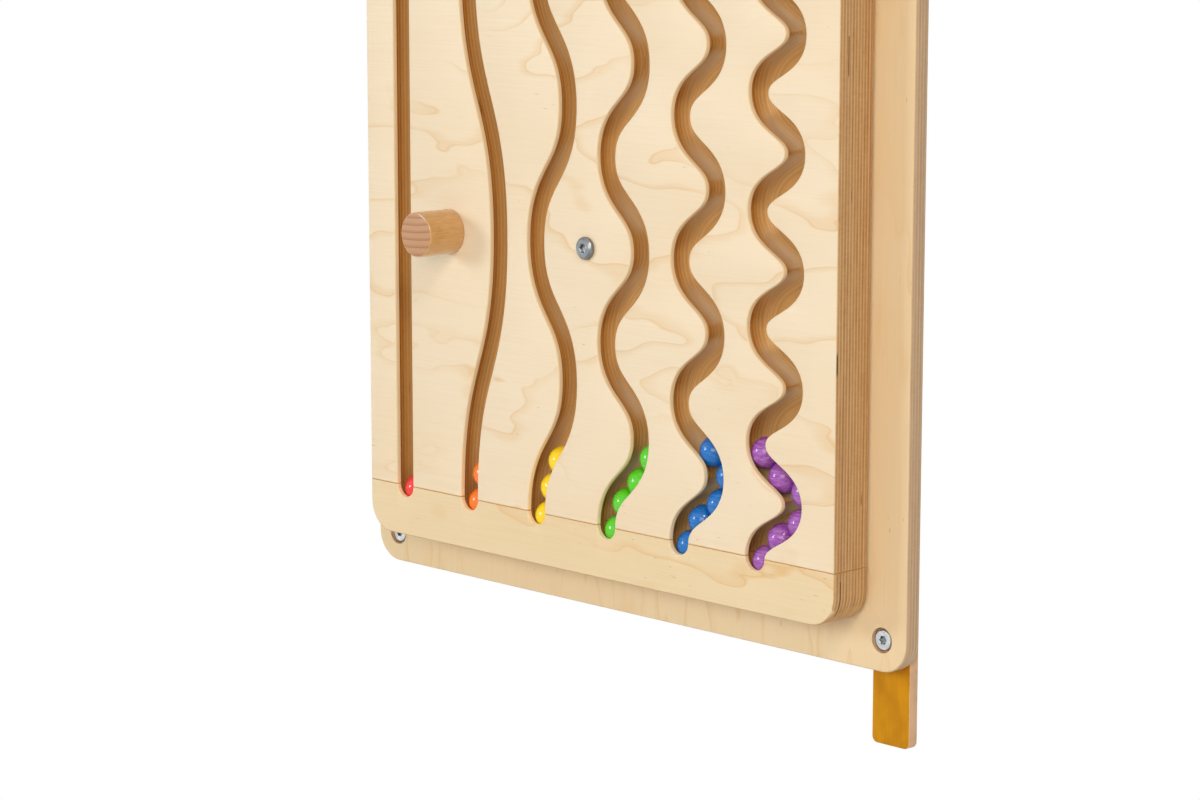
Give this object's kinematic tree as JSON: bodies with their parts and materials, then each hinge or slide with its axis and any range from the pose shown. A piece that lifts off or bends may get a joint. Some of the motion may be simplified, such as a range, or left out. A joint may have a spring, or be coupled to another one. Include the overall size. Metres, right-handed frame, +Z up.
{
  "type": "wall activity panel",
  "caption": "Square plywood board with a straight and wavy ball tracks that turns by a dowel handle on a bolt in front of a square wall board.",
  "frame": {"origin": "where the turning axis meets the wall plane, midway between the four corner screws", "axes": "+X to the right seen from the front, +Y into the wall, +Z up; the board's front faces -Y"},
  "size_m": [0.49, 0.0836, 0.5395],
  "materials": {
    "birch_face": "birch plywood, clear satin lacquer",
    "birch_strip": "birch plywood, clear satin lacquer",
    "birch_back": "birch plywood, clear satin lacquer",
    "beech_handle": "beech, clear satin lacquer",
    "beech_dowel": "plain beech",
    "tag_stain": "ochre stain on the face, satin",
    "zinc_steel": "bright zinc plate",
    "nylon": "natural nylon",
    "red": "gloss lacquer",
    "orange": "gloss lacquer",
    "yellow": "gloss lacquer",
    "green": "gloss lacquer",
    "blue": "gloss lacquer",
    "purple": "gloss lacquer"
  },
  "bodies": {
    "wall_frame": {"back_board": "birch_back", "hanging_tag": "tag_stain", "spacer_lower_left": "birch_back", "spacer_upper_left": "birch_back", "spacer_upper_right": "birch_back", "corner_screw_lower_left": "zinc_steel", "corner_screw_lower_right": "zinc_steel", "corner_screw_upper_left": "zinc_steel", "corner_screw_upper_right": "zinc_steel", "pivot_bolt": "zinc_steel", "pivot_washer": "zinc_steel", "pivot_nut": "zinc_steel", "thrust_washer": "nylon"},
    "turntable": {"track_floor": "birch_face", "track_land_1": "birch_face", "track_land_2": "birch_face", "track_land_3": "birch_face", "track_land_4": "birch_face", "track_land_5": "birch_face", "track_land_6": "birch_face", "track_land_7": "birch_face", "bottom_end_strip": "birch_strip", "top_end_strip": "birch_strip", "pivot_bush": "nylon", "handle": "beech_handle", "handle_screw": "zinc_steel", "bottom_dowel_1": "beech_dowel", "bottom_dowel_2": "beech_dowel", "bottom_dowel_3": "beech_dowel", "bottom_dowel_4": "beech_dowel", "top_dowel_1": "beech_dowel", "top_dowel_2": "beech_dowel", "top_dowel_3": "beech_dowel", "top_dowel_4": "beech_dowel"},
    "red_1": {"red_ball": "red"},
    "orange_1": {"orange_ball_1": "orange"},
    "orange_2": {"orange_ball_2": "orange"},
    "yellow_1": {"yellow_ball_1": "yellow"},
    "yellow_2": {"yellow_ball_2": "yellow"},
    "yellow_3": {"yellow_ball_3": "yellow"},
    "green_1": {"green_ball_1": "green"},
    "green_2": {"green_ball_2": "green"},
    "green_3": {"green_ball_3": "green"},
    "green_4": {"green_ball_4": "green"},
    "blue_1": {"blue_ball_1": "blue"},
    "blue_2": {"blue_ball_2": "blue"},
    "blue_3": {"blue_ball_3": "blue"},
    "blue_4": {"blue_ball_4": "blue"},
    "blue_5": {"blue_ball_5": "blue"},
    "purple_1": {"purple_ball_1": "purple"},
    "purple_2": {"purple_ball_2": "purple"},
    "purple_3": {"purple_ball_3": "purple"},
    "purple_4": {"purple_ball_4": "purple"},
    "purple_5": {"purple_ball_5": "purple"},
    "purple_6": {"purple_ball_6": "purple"}
  },
  "joints": [
    {"name": "board_turn", "type": "hinge", "parent": "wall_frame", "child": "turntable", "pos_m": [0, -0.0383, 0], "axis": [0, 1, 0], "continuous": true},
    {"name": "red_1_roll", "type": "slide", "parent": "turntable", "child": "red_1", "axis": [0, 0, 1], "range_m": [0, 0.367]},
    {"name": "orange_1_roll", "type": "hinge", "parent": "turntable", "child": "orange_1", "pos_m": [0.19691, -0.04042, -0.18164], "axis": [0, 1, 0], "range_deg": [0, 22.8]},
    {"name": "orange_2_roll", "type": "hinge", "parent": "turntable", "child": "orange_2", "pos_m": [0.27388, -0.04042, -0.17457], "axis": [0, 1, 0], "range_deg": [0, 18.4]},
    {"name": "yellow_1_roll", "type": "hinge", "parent": "turntable", "child": "yellow_1", "pos_m": [0.02735, -0.04042, -0.17983], "axis": [0, 1, 0], "range_deg": [0, 43.85]},
    {"name": "yellow_2_roll", "type": "hinge", "parent": "turntable", "child": "yellow_2", "pos_m": [0.10163, -0.04042, -0.19414], "axis": [0, 1, 0], "range_deg": [0, 22.2]},
    {"name": "yellow_3_roll", "type": "hinge", "parent": "turntable", "child": "yellow_3", "pos_m": [-0.11291, -0.04042, -0.09044], "axis": [0, -1, 0], "range_deg": [0, 78.6]},
    {"name": "green_1_roll", "type": "hinge", "parent": "turntable", "child": "green_1", "pos_m": [0.05686, -0.04042, -0.18097], "axis": [0, 1, 0], "range_deg": [0, 57.8]},
    {"name": "green_2_roll", "type": "hinge", "parent": "turntable", "child": "green_2", "pos_m": [0.26327, -0.04042, -0.29298], "axis": [0, 1, 0], "range_deg": [0, 8.3]},
    {"name": "green_3_roll", "type": "hinge", "parent": "turntable", "child": "green_3", "pos_m": [0.00539, -0.04042, -0.12277], "axis": [0, -1, 0], "range_deg": [0, 81.8]},
    {"name": "green_4_roll", "type": "hinge", "parent": "turntable", "child": "green_4", "pos_m": [-0.02802, -0.04042, -0.13421], "axis": [0, -1, 0], "range_deg": [0, 50.6]},
    {"name": "blue_1_roll", "type": "hinge", "parent": "turntable", "child": "blue_1", "pos_m": [0.10656, -0.04042, -0.18078], "axis": [0, 1, 0], "range_deg": [0, 62.6]},
    {"name": "blue_2_roll", "type": "hinge", "parent": "turntable", "child": "blue_2", "pos_m": [0.13802, -0.04042, -0.18964], "axis": [0, 1, 0], "range_deg": [0, 27.25]},
    {"name": "blue_3_roll", "type": "hinge", "parent": "turntable", "child": "blue_3", "pos_m": [0.07431, -0.04042, -0.13646], "axis": [0, -1, 0], "range_deg": [0, 39.85]},
    {"name": "blue_4_roll", "type": "hinge", "parent": "turntable", "child": "blue_4", "pos_m": [0.06311, -0.04042, -0.16001], "axis": [0, -1, 0], "range_deg": [0, 35.7]},
    {"name": "blue_5_roll", "type": "hinge", "parent": "turntable", "child": "blue_5", "pos_m": [0.13948, -0.04042, -0.07608], "axis": [0, 1, 0], "range_deg": [0, 37.5]},
    {"name": "purple_1_roll", "type": "hinge", "parent": "turntable", "child": "purple_1", "pos_m": [0.19511, -0.04042, -0.18293], "axis": [0, 1, 0], "range_deg": [0, 9.51]},
    {"name": "purple_2_roll", "type": "hinge", "parent": "turntable", "child": "purple_2", "pos_m": [0.18049, -0.04042, -0.17388], "axis": [0, 1, 0], "range_deg": [0, 20.19]},
    {"name": "purple_3_roll", "type": "hinge", "parent": "turntable", "child": "purple_3", "pos_m": [0.19213, -0.04042, -0.15219], "axis": [0, 1, 0], "range_deg": [0, 41.25]},
    {"name": "purple_4_roll", "type": "hinge", "parent": "turntable", "child": "purple_4", "pos_m": [0.42435, -0.04042, 0.29429], "axis": [0, 1, 0], "range_deg": [0, 2.5]},
    {"name": "purple_5_roll", "type": "hinge", "parent": "turntable", "child": "purple_5", "pos_m": [0.18637, -0.04042, -0.09997], "axis": [0, 1, 0], "range_deg": [0, 39.9]},
    {"name": "purple_6_roll", "type": "hinge", "parent": "turntable", "child": "purple_6", "pos_m": [0.21636, -0.04042, -0.13897], "axis": [0, 1, 0], "range_deg": [0, 40.4]}
  ],
  "couplings": [
    {"joint": "orange_1_roll", "follows": "orange_2_roll", "ratio": 1.2376},
    {"joint": "yellow_1_roll", "follows": "yellow_3_roll", "ratio": 0.5573},
    {"joint": "yellow_2_roll", "follows": "yellow_3_roll", "ratio": 0.2824},
    {"joint": "green_1_roll", "follows": "green_4_roll", "ratio": 1.1412},
    {"joint": "green_2_roll", "follows": "green_4_roll", "ratio": 0.1639},
    {"joint": "green_3_roll", "follows": "green_4_roll", "ratio": 1.6156},
    {"joint": "blue_1_roll", "follows": "blue_5_roll", "ratio": 1.6688},
    {"joint": "blue_2_roll", "follows": "blue_5_roll", "ratio": 0.7259},
    {"joint": "blue_3_roll", "follows": "blue_5_roll", "ratio": 1.0616},
    {"joint": "blue_4_roll", "follows": "blue_5_roll", "ratio": 0.9507},
    {"joint": "purple_1_roll", "follows": "purple_6_roll", "ratio": 0.2353},
    {"joint": "purple_2_roll", "follows": "purple_6_roll", "ratio": 0.499},
    {"joint": "purple_3_roll", "follows": "purple_6_roll", "ratio": 1.0202},
    {"joint": "purple_4_roll", "follows": "purple_6_roll", "ratio": 0.0619},
    {"joint": "purple_5_roll", "follows": "purple_6_roll", "ratio": 0.9866}
  ]
}
